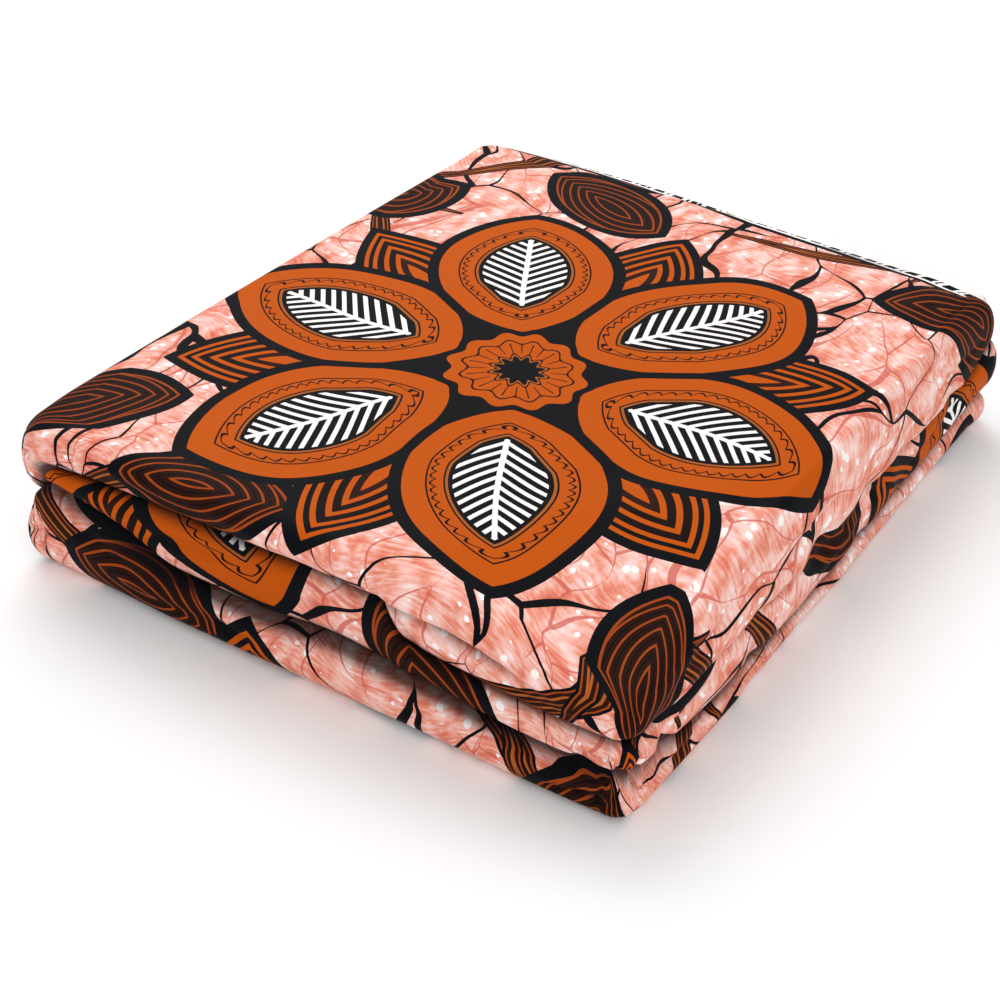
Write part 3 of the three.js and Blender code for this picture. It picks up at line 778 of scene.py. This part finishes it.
def linear(name):
    """A palette colour as Blender's linear numbers."""
    code = PALETTE[name].lstrip("#")
    shares = [int(code[at : at + 2], 16) / 255 for at in (0, 2, 4)]
    return [v / 12.92 if v <= 0.04045 else ((v + 0.055) / 1.055) ** 2.4 for v in shares] + [1]


class Field:
    """A number that varies over the cloth: a node's output, with arithmetic."""

    def __init__(self, socket):
        self.socket = socket

    def math(self, operation, *others, clamp=False):
        node = self.socket.node.id_data.nodes.new("ShaderNodeMath")
        node.operation = operation
        node.use_clamp = clamp
        for entry, value in zip(node.inputs, (self, *others)):
            feed(entry, value)
        return Field(node.outputs[0])

    def __add__(self, other):
        return self.math("ADD", other)

    def __sub__(self, other):
        return self.math("SUBTRACT", other)

    def __mul__(self, other):
        return self.math("MULTIPLY", other)

    def within(self, limit):
        """1 where the field is less than limit, 0 elsewhere."""
        return self.math("LESS_THAN", limit)


def feed(entry, value):
    if isinstance(value, Field):
        entry.node.id_data.links.new(value.socket, entry)
    else:
        entry.default_value = value


def vector_of(x, y):
    node = x.socket.node.id_data.nodes.new("ShaderNodeCombineXYZ")
    feed(node.inputs["X"], x)
    feed(node.inputs["Y"], y)
    return Field(node.outputs["Vector"])


def length_of(x, y):
    node = x.socket.node.id_data.nodes.new("ShaderNodeVectorMath")
    node.operation = "LENGTH"
    feed(node.inputs[0], vector_of(x, y))
    return Field(node.outputs["Value"])


def parts_of(vector):
    node = vector.socket.node.id_data.nodes.new("ShaderNodeSeparateXYZ")
    feed(node.inputs["Vector"], vector)
    return [Field(output) for output in node.outputs]


def stretched(vector, degrees, scale, shift=(0, 0, 0)):
    """The same vector turned and scaled, so that a texture read by it runs one way."""
    node = vector.socket.node.id_data.nodes.new("ShaderNodeMapping")
    node.inputs["Rotation"].default_value[2] = math.radians(degrees)
    node.inputs["Scale"].default_value = (*scale, 1)
    node.inputs["Location"].default_value = shift
    feed(node.inputs["Vector"], vector)
    return Field(node.outputs["Vector"])


def noise(vector, size, detail=2.0, output="Fac"):
    """Soft noise with lumps of about size millimetres."""
    node = vector.socket.node.id_data.nodes.new("ShaderNodeTexNoise")
    node.inputs["Scale"].default_value = 1 / size
    node.inputs["Detail"].default_value = detail
    feed(node.inputs["Vector"], vector)
    return Field(node.outputs[output])


def cells(vector, size, feature):
    """Distance to a cell's edge or to its middle, in millimetres."""
    node = vector.socket.node.id_data.nodes.new("ShaderNodeTexVoronoi")
    node.feature = feature
    node.inputs["Scale"].default_value = 1 / size
    feed(node.inputs["Vector"], vector)
    return Field(node.outputs["Distance"]) * size


def bands(field, low, high, rows, soft=False):
    """Colours by distance, each row from its own distance on; a colour of None is left open.

    Returns the colour and how much of it covers what lies below."""
    node = field.socket.node.id_data.nodes.new("ShaderNodeValToRGB")
    span = high - low
    feed(node.inputs["Fac"], field.math("MULTIPLY_ADD", 1 / span, -low / span))
    stops = node.color_ramp
    stops.interpolation = "LINEAR" if soft else "CONSTANT"
    for index, (start, colour) in enumerate(rows):
        at = (start - low) / span
        if index < 2:
            stop = stops.elements[index]
            stop.position = at
        else:
            stop = stops.elements.new(at)
        stop.color = linear(colour) if colour else (0, 0, 0, 0)
    return Field(node.outputs["Color"]), Field(node.outputs["Alpha"])


def over(below, above, cover):
    """One colour laid over another where cover is 1."""
    node = below.socket.node.id_data.nodes.new("ShaderNodeMix")
    node.data_type = "RGBA"
    feed(node.inputs["Factor"], cover)
    feed(node.inputs[6], below)
    feed(node.inputs[7], above)
    return Field(node.outputs[2])


def repeated(x, y, centre):
    """Coordinates from the nearest centre of a half-drop repeat."""
    across = x - centre[0]
    column = (across * (1 / REPEAT) + 0.5).math("FLOOR")
    drop = (column * 0.5).math("FRACT") * REPEAT
    down = y - centre[1] + drop
    half = REPEAT / 2
    return across.math("WRAP", half, -half), down.math("WRAP", half, -half)


def turned_by(x, y, degrees):
    """Coordinates along and across a direction."""
    cosine, sine = math.cos(math.radians(degrees)), math.sin(math.radians(degrees))
    return x * cosine + y * sine, y * cosine - x * sine


def leaf(along, across, half_length, half_width):
    """How far outside a leaf with two points, between two arcs; inside it is less than 0."""
    radius = (half_length**2 + half_width**2) / (2 * half_width)
    return length_of(along, across.math("ABSOLUTE") + (radius - half_width)) - radius


def sector(radius, angle, count, offset=0.0):
    """Distances along and across the middle of the nearest of count equal sectors."""
    folded = (angle + offset).math("PINGPONG", math.pi / count)
    return radius * folded.math("COSINE"), radius * folded.math("SINE")


THREAD_PITCH = 0.55
THREAD_RELIEF = 0.12
WEAVE_SHARE = 0.5  # of the relief, and the share of the slubs, the uneven thick threads
SLUB_SHARE = 0.8
SLUB_SIZE = 3
SLUB_STRETCH = (0.25, 2.2)
REPEAT = 300  # of the print, in both directions, each column half a repeat lower

# The ground: sizes, directions in degrees, and stretches along and across a direction.
GROUND_SWAY = 62  # how far its pattern wanders, in lumps of GROUND_LUMP
GROUND_LUMP = 64
VEIN_CELL = 41
VEIN_DIRECTION = 28
VEIN_STRETCH = (1.35, 0.72)
VEIN_LUMP = 21
VEIN_WIDTH = (2.0, -0.4)  # a number that noise is multiplied by, and one that is added
FINE_VEIN_CELL = 30
FINE_VEIN_DIRECTION = -20
FINE_VEIN_STRETCH = (1.8, 0.8)
FINE_VEIN_SHIFT = (40, 90, 0)
FINE_VEIN_LUMP = 33
FINE_VEIN_WIDTH = (1.9, -0.55)
FINE_VEIN_COVER = 0.8
HATCH_SIZE = 3.2
HATCH_DIRECTION = 62
HATCH_STRETCH = (0.5, 2.2)
HATCH_SHARE = 0.75  # of the ground's tone
MOTTLE_SIZE = 11
MOTTLE_DIRECTION = -24
MOTTLE_STRETCH = (1.5, 0.8)
MOTTLE_SHARE = 0.85
NEAR_VEIN_TONE = (-0.02, 0.1)  # how the tone falls off beside a vein, and what it starts from
FLECK_SPACING = 5.4
FLECK_REACH = 3.6

# Tone of the ground, from light to dark.
GROUND_TONES = (
    (0.5, "white"),
    (0.6, "pale"),
    (0.69, "light_pink"),
    (0.8, "pink"),
    (0.9, "coral"),
    (1.02, "deep_coral"),
    (1.16, "red_coral"),
)
GROUND_TONE_RANGE = (0.4, 1.3)

# The flower, measured from its centre.
FLOWER_CENTRE = (2, -22)
PETALS = 6
PETAL_MIDDLE = 75
PETAL_HALF_LENGTH = 48
PETAL_HALF_WIDTH = 34
DARK_HEART = 54  # radius of the dark round that the petals and the centre lie on
PETAL_GAP = 2.2  # of dark, on each side of the line between two petals
BEAD_LINE = 11.7  # how far in from a petal's edge the scalloped line runs
BEAD_TURN = 0.74  # radians of a scallop to a millimetre
BEAD_HEIGHT = 1.9
BEAD_HALF_WIDTH = 0.42
BEAD_BAND = 2.8  # half the width of the band that the scallops keep to
FEATHER_EDGE = 17.8  # how far in from a petal's edge the white feather stops
FEATHER_SLANT = 0.85
FEATHER_PITCH = 2.7  # half the distance from one barb to the next
FEATHER_BARB = 1.15
SPINE_HALF_WIDTH = 1.0
LEAF_MIDDLE = 78
LEAF_HALF_LENGTH = 46
LEAF_HALF_WIDTH = 21
CENTRE_SCALLOPS = 12
SCALLOP_HEIGHT = 1.5
RAYS = 24
RAY_LINE = 0.93  # of the wave round the centre, above which a ray is drawn
RAY_MIDDLE = 15.5
RAY_HALF_LENGTH = 3.6

# Bands of colour, by distance outside each form's edge, where below 0 is inside it.  Each range is
# what the ramp of that form spans.
PETAL_RANGE = (-20, 8)
PETAL_BANDS = (
    (-20, "navy"),
    (-16.2, "amber"),
    (-15.2, "navy"),
    (-14.6, "orange"),
    (-8.8, "dark_brown"),
    (-8.1, "orange"),
    (0, "navy"),
    (4.6, None),
)
LEAF_RANGE = (-21, 6)
LEAF_BANDS = (
    (-21, "orange"),
    (-18, "brown"),
    (-15.4, "orange"),
    (-13.4, "dark_brown"),
    (-10.6, "orange"),
    (-8.6, "dark_brown"),
    (-5.8, "orange"),
    (-4, "navy"),
    (-2.2, "orange"),
    (-0.4, "navy"),
    (3.4, None),
)
CENTRE_RANGE = (0, 32)
CENTRE_BANDS = (  # by distance from the centre
    (0, "navy"),
    (8.5, "amber"),
    (9.6, "navy"),
    (10.6, "orange"),
    (19.5, "dark_brown"),
    (20.3, "orange"),
    (25.5, "navy"),
    (29, None),
)
STEM_RANGE = (-5, 3)
STEM_BANDS = (
    (-5, "rust"),
    (-4.1, "brown"),
    (-2.7, "amber"),
    (-1.9, "brown"),
    (-0.7, "rust"),
    (-0.1, "navy"),
    (0.9, None),
)
POD_RANGE = (-8, 5)
POD_RIM = ((-8, None), (-2.0, "rust"), (-1.0, "navy"), (3.2, None))
POD_GRAIN = ((0, "rust"), (0.42, "dark_brown"), (0.8, "brown"), (1.7, "dark_brown"))
POD_GRAIN_PITCH = 2.1  # half the distance from one line of the grain to the next
POD_CROWDING = 0.16  # how much the grain's lines crowd towards one end

# The selvage: where its dark line ends and its dashes run, past the print's edge.
SELVAGE_RANGE = (-2, 14)
SELVAGE_BANDS = ((-2, None), (0, "navy"), (2.4, "white"))
DASH_MIDDLE = 5.4
DASH_HALF_WIDTH = 1.7
DASH_WAVES = ((8.3, 1), (3.1, 0.9))  # length and share of the waves that cut the dashes
DASH_LEVEL = -0.35

HAND_WAVES = ((97, 1.4), (43, 0.3))  # the drawn lines sway by hand: length of a wave, and reach
HAND_SLANT = 0.4  # how far a wave leans

# Brown pods in the ground: place, the way they point, and their half length and half width.
PODS = (
    (118, 118, 25, 33, 19),
    (-42, 116, 160, 34, 20),
    (-116, 74, 60, 27, 17),
    (122, -128, 115, 31, 19),
    (-112, -122, 35, 33, 20),
    (-38, 158, 14, 30, 18),
)

# Curved stems: centre of the arc, radius, middle and half of the angle it covers, half width.
STEMS = (
    (18, 232, 112, -52, 40, 4.4),
    (-196, -16, 108, 28, 40, 4),
    (206, -196, 120, 128, 42, 4.2),
    (-6, -262, 126, 122, 34, 4),
)


def print_ground(vector):
    """Pink ground: brushed coral, white flecks, and dark veins that branch like a leaf's."""
    shift = vector.socket.node.id_data.nodes.new("ShaderNodeVectorMath")
    shift.operation = "MULTIPLY_ADD"
    feed(shift.inputs[0], noise(vector, GROUND_LUMP, detail=1.5, output="Color"))
    shift.inputs[1].default_value = (GROUND_SWAY, GROUND_SWAY, 0)
    feed(shift.inputs[2], vector)
    warped = Field(shift.outputs["Vector"])

    vein_place = stretched(warped, VEIN_DIRECTION, VEIN_STRETCH)
    edge = cells(vein_place, VEIN_CELL, "DISTANCE_TO_EDGE")
    veins = (edge - line_width(vector, VEIN_LUMP, VEIN_WIDTH)).within(0)

    hatched = noise(stretched(warped, HATCH_DIRECTION, HATCH_STRETCH), HATCH_SIZE, detail=4.0)
    mottled = noise(stretched(vector, MOTTLE_DIRECTION, MOTTLE_STRETCH), MOTTLE_SIZE, detail=3.0)
    near_vein = edge.math("MULTIPLY_ADD", *NEAR_VEIN_TONE).math("MAXIMUM", 0.0)
    tone = hatched * HATCH_SHARE + mottled * MOTTLE_SHARE + near_vein
    ground, _ = bands(tone, *GROUND_TONE_RANGE, GROUND_TONES, soft=True)
    flecks = cells(vector, FLECK_SPACING, "F1") + mottled * FLECK_SPACING
    ground = over(ground, linear_field(vector, "white"), flecks.within(FLECK_REACH))
    fine_place = stretched(warped, FINE_VEIN_DIRECTION, FINE_VEIN_STRETCH, FINE_VEIN_SHIFT)
    fine = cells(fine_place, FINE_VEIN_CELL, "DISTANCE_TO_EDGE")
    fine = (fine - line_width(vector, FINE_VEIN_LUMP, FINE_VEIN_WIDTH)).within(0)
    ground = over(ground, linear_field(vector, "red_coral"), fine * FINE_VEIN_COVER)
    return over(ground, linear_field(vector, "navy"), veins)


def line_width(vector, lump, width):
    """An uneven width for drawn lines; where it is below 0 they break off."""
    multiplied, added = width
    return noise(vector, lump, detail=0.0) * multiplied + added


def linear_field(near, name):
    """A palette colour as a field."""
    node = near.socket.node.id_data.nodes.new("ShaderNodeRGB")
    node.outputs[0].default_value = linear(name)
    return Field(node.outputs[0])


def print_stem(colour, x, y, row):
    """One curved stem, widest in its middle, with lines along it."""
    centre_x, centre_y, radius, middle, half, half_width = row
    across, down = repeated(x, y, (centre_x, centre_y))
    away = length_of(across, down) - radius
    angle = down.math("ARCTAN2", across) - math.radians(middle)
    share = angle * (1 / math.radians(half))
    taper = (share * share).math("MULTIPLY_ADD", -half_width, half_width)
    inside = away.math("ABSOLUTE") - taper
    stripes, cover = bands(inside, *STEM_RANGE, STEM_BANDS)
    ends = share.math("ABSOLUTE").within(1.0)
    return over(colour, stripes, cover * ends)


def print_pod(colour, x, y, row):
    """One brown pod, with lines that follow its outline and crowd towards one end."""
    centre_x, centre_y, degrees, half_length, half_width = row
    across, down = repeated(x, y, (centre_x, centre_y))
    along, side = turned_by(across, down, degrees)
    body = leaf(along, side, half_length, half_width)
    rings = (body + along * POD_CROWDING).math("PINGPONG", POD_GRAIN_PITCH)
    grain, _ = bands(rings, 0, POD_GRAIN_PITCH, POD_GRAIN)
    rim, rim_cover = bands(body, *POD_RANGE, POD_RIM)
    colour = over(colour, grain, body.within(0))
    return over(colour, rim, rim_cover)


def print_flower(colour, x, y):
    """The large flower: six petals round a scalloped centre, with narrow leaves between."""
    across, down = repeated(x, y, FLOWER_CENTRE)
    radius = length_of(across, down)
    angle = down.math("ARCTAN2", across)
    half_turn = math.pi / PETALS

    along, side = sector(radius, angle, PETALS, half_turn)
    between = leaf(along - LEAF_MIDDLE, side, LEAF_HALF_LENGTH, LEAF_HALF_WIDTH)
    stripes, cover = bands(between, *LEAF_RANGE, LEAF_BANDS)
    colour = over(colour, stripes, cover)
    colour = over(colour, linear_field(x, "navy"), radius.within(DARK_HEART))

    along, side = sector(radius, angle, PETALS)
    petal = leaf(along - PETAL_MIDDLE, side, PETAL_HALF_LENGTH, PETAL_HALF_WIDTH)
    border = along * math.sin(half_turn) - side.math("ABSOLUTE") * math.cos(half_turn)
    petal = petal.math("MAXIMUM", border * -1 + PETAL_GAP)
    colour = print_petal(colour, petal, along, side)
    return print_centre(colour, radius, angle)


def print_petal(colour, petal, along, side):
    """A petal's rings, the scalloped line in them and the white feather in the middle.

    petal is the distance outside its edge."""
    edges, cover = bands(petal, *PETAL_RANGE, PETAL_BANDS)
    colour = over(colour, edges, cover)
    beads = (along * BEAD_TURN).math("PINGPONG", math.pi / 2).math("COSINE") * BEAD_HEIGHT
    scallop = (petal - beads + BEAD_LINE).math("ABSOLUTE").within(BEAD_HALF_WIDTH)
    band = (petal + BEAD_LINE).math("ABSOLUTE").within(BEAD_BAND)
    colour = over(colour, linear_field(petal, "dark_brown"), scallop * band)
    barbs = along + side.math("ABSOLUTE") * -FEATHER_SLANT
    feather = barbs.math("PINGPONG", FEATHER_PITCH).within(FEATHER_BARB)
    spine = side.math("ABSOLUTE").within(SPINE_HALF_WIDTH)
    white = feather.math("MAXIMUM", spine) * petal.within(-FEATHER_EDGE)
    return over(colour, linear_field(petal, "white"), white)


def print_centre(colour, radius, angle):
    """The flower's centre: scalloped rings, and rays between them."""
    ripple = (angle * CENTRE_SCALLOPS).math("COSINE") * SCALLOP_HEIGHT + radius
    centre, cover = bands(ripple, *CENTRE_RANGE, CENTRE_BANDS)
    colour = over(colour, centre, cover)
    rays = (angle * RAYS).math("COSINE").math("GREATER_THAN", RAY_LINE)
    ray_place = (radius - RAY_MIDDLE).math("ABSOLUTE").within(RAY_HALF_LENGTH)
    return over(colour, linear_field(radius, "dark_brown"), rays * ray_place)


def hand_sway(across, along):
    """Slow waves that keep the drawn lines from looking ruled."""
    total = along * 0
    for length, reach in HAND_WAVES:
        slanted = (across + along * HAND_SLANT) * (2 * math.pi / length)
        total = total + slanted.math("SINE") * reach
    return total


def print_selvage(colour, x, edge):
    """White selvage with plain dashes, past a dark line."""
    border, cover = bands(edge, *SELVAGE_RANGE, SELVAGE_BANDS)
    waves_along = x * 0
    for length, share in DASH_WAVES:
        waves_along = waves_along + (x * (2 * math.pi / length)).math("SINE") * share
    dash = waves_along.math("GREATER_THAN", DASH_LEVEL)
    place_across = (edge - DASH_MIDDLE).math("ABSOLUTE").within(DASH_HALF_WIDTH)
    border = over(border, linear_field(x, "navy"), dash * place_across)
    return over(colour, border, cover)


def cloth_material():
    """Printed cotton: the print with painted shade laid over its seams and creases, a plain weave
    in low relief and a slight sheen.
    """
    material = bpy.data.materials.new("wax_print_cotton")
    material.use_nodes = True
    nodes, links = material.node_tree.nodes, material.node_tree.links
    shader = nodes["Principled BSDF"]
    read = nodes.new("ShaderNodeAttribute")
    read.attribute_name = "cloth"
    scaled = nodes.new("ShaderNodeVectorMath")
    scaled.operation = "SCALE"
    scaled.inputs["Scale"].default_value = 1 / MM
    links.new(read.outputs["Vector"], scaled.inputs[0])
    x, y, edge = parts_of(Field(scaled.outputs["Vector"]))
    flat = vector_of(x, y)

    colour = print_ground(flat)
    edge_x = x
    x, y = x + hand_sway(y, x), y + hand_sway(x, y)
    for row in STEMS:
        colour = print_stem(colour, x, y, row)
    for row in PODS:
        colour = print_pod(colour, x, y, row)
    colour = print_flower(colour, x, y)
    colour = print_selvage(colour, edge_x, edge)
    # painted shade: navy laid over the print, deep in the seams and creases, where shade falls
    painted_shade = nodes.new("ShaderNodeAttribute")
    painted_shade.attribute_name = "painted_shade"
    colour = over(colour, linear_field(flat, "navy"), Field(painted_shade.outputs["Fac"]) * PAINTED_SHADE_STRENGTH)

    warp = (edge_x * (2 * math.pi / THREAD_PITCH)).math("SINE")
    weft = (y * (2 * math.pi / THREAD_PITCH)).math("SINE")
    slubs = noise(stretched(flat, 0, SLUB_STRETCH), SLUB_SIZE, detail=2.0)
    height = warp * weft * WEAVE_SHARE + slubs * SLUB_SHARE
    bump = nodes.new("ShaderNodeBump")
    bump.inputs["Strength"].default_value = 0.35
    bump.inputs["Distance"].default_value = THREAD_RELIEF * MM
    feed(bump.inputs["Height"], height)
    links.new(bump.outputs["Normal"], shader.inputs["Normal"])
    feed(shader.inputs["Base Color"], colour)
    shader.inputs["Roughness"].default_value = 0.6
    shader.inputs["Specular IOR Level"].default_value = 0.05
    shader.inputs["Sheen Weight"].default_value = 0.005
    shader.inputs["Sheen Roughness"].default_value = 0.5
    return material


# ---------------------------------------------------------------- camera, light and floor
CAMERA_PLACE = (0.32883, -0.53253, 0.41214)
CAMERA_AZIMUTH = 33.081
CAMERA_ELEVATION = 33.817
CAMERA_ROLL = 0.911
CAMERA_LENS = 70.47
SENSOR_WIDTH = 36
FLOOR_HALF = 3.0
FLOOR_SHADE = 0.96
SKY_STRENGTH = 0.7

# Soft boxes: place, size and power.
LAMPS = (
    ((-0.7, 0.5, 1.2), 1.1, 11.5),
    ((0.95, -0.9, 0.9), 1.1, 6.0),
)


def add_camera():
    azimuth, elevation, tilt = map(math.radians, (CAMERA_AZIMUTH, CAMERA_ELEVATION, CAMERA_ROLL))
    level = math.cos(elevation)
    back = Vector((math.sin(azimuth) * level, -math.cos(azimuth) * level, math.sin(elevation)))
    right = Vector((0, 0, 1)).cross(back).normalized()
    up = back.cross(right)
    tilted_right = right * math.cos(tilt) + up * math.sin(tilt)
    tilted_up = up * math.cos(tilt) - right * math.sin(tilt)
    camera = bpy.data.objects.new("camera", bpy.data.cameras.new("camera"))
    camera.data.lens = CAMERA_LENS
    camera.data.sensor_width = SENSOR_WIDTH
    turning = Matrix((tilted_right, tilted_up, back)).transposed()
    camera.matrix_world = Matrix.Translation(CAMERA_PLACE) @ turning.to_4x4()
    bpy.context.scene.collection.objects.link(camera)
    bpy.context.scene.camera = camera


def add_lights():
    for number, (place_at, size, power) in enumerate(LAMPS, 1):
        lamp = bpy.data.lights.new(f"soft_box_{number}", "AREA")
        lamp.size = size
        lamp.energy = power
        holder = bpy.data.objects.new(lamp.name, lamp)
        holder.location = place_at
        holder.rotation_euler = Vector(place_at).to_track_quat("Z", "Y").to_euler()
        bpy.context.scene.collection.objects.link(holder)
    world = bpy.data.worlds.new("studio")
    world.use_nodes = True
    sky = world.node_tree.nodes["Background"]
    sky.inputs["Color"].default_value = (1, 1, 1, 1)
    sky.inputs["Strength"].default_value = SKY_STRENGTH
    bpy.context.scene.world = world
    bpy.context.scene.view_settings.view_transform = "Standard"


def add_floor():
    mesh = bpy.data.meshes.new("floor")
    corners = [(-1, -1, 0), (1, -1, 0), (1, 1, 0), (-1, 1, 0)]
    mesh.from_pydata([Vector(c) * FLOOR_HALF for c in corners], [], [(0, 1, 2, 3)])
    floor = bpy.data.objects.new("floor", mesh)
    material = bpy.data.materials.new("pale_floor")
    material.use_nodes = True
    shader = material.node_tree.nodes["Principled BSDF"]
    shader.inputs["Base Color"].default_value = (FLOOR_SHADE, FLOOR_SHADE, FLOOR_SHADE, 1)
    shader.inputs["Roughness"].default_value = 0.9
    shader.inputs["Specular IOR Level"].default_value = 0.0
    mesh.materials.append(material)
    bpy.context.scene.collection.objects.link(floor)
    floor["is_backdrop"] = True


# ---------------------------------------------------------------- the bundle
add_camera()
add_lights()
add_floor()

cotton = cloth_material()

# What each piece stands for, a slot name, and the cut that it shows.
PIECES = (
    (top_cloth(), "top_sheet", "printed_cotton", (0.300, 0.345)),
    (middle_cloth(), "middle_fold", "printed_cotton", (0.525, 0.040)),
    (lower_cloth(), "lower_sheet", "printed_cotton", (0.300, 0.330)),
    (layer_stack(), "hidden_layers", "layer_edges", (0.264, 0.166)),
)

for piece, node, slot, cut in PIECES:
    piece.data.materials.append(cotton)
    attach(piece, "root")
    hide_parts(node)

boxes = {"cad": cad_box, "visual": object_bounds()}
{name: [list(corner) for corner in box] for name, box in boxes.items()}
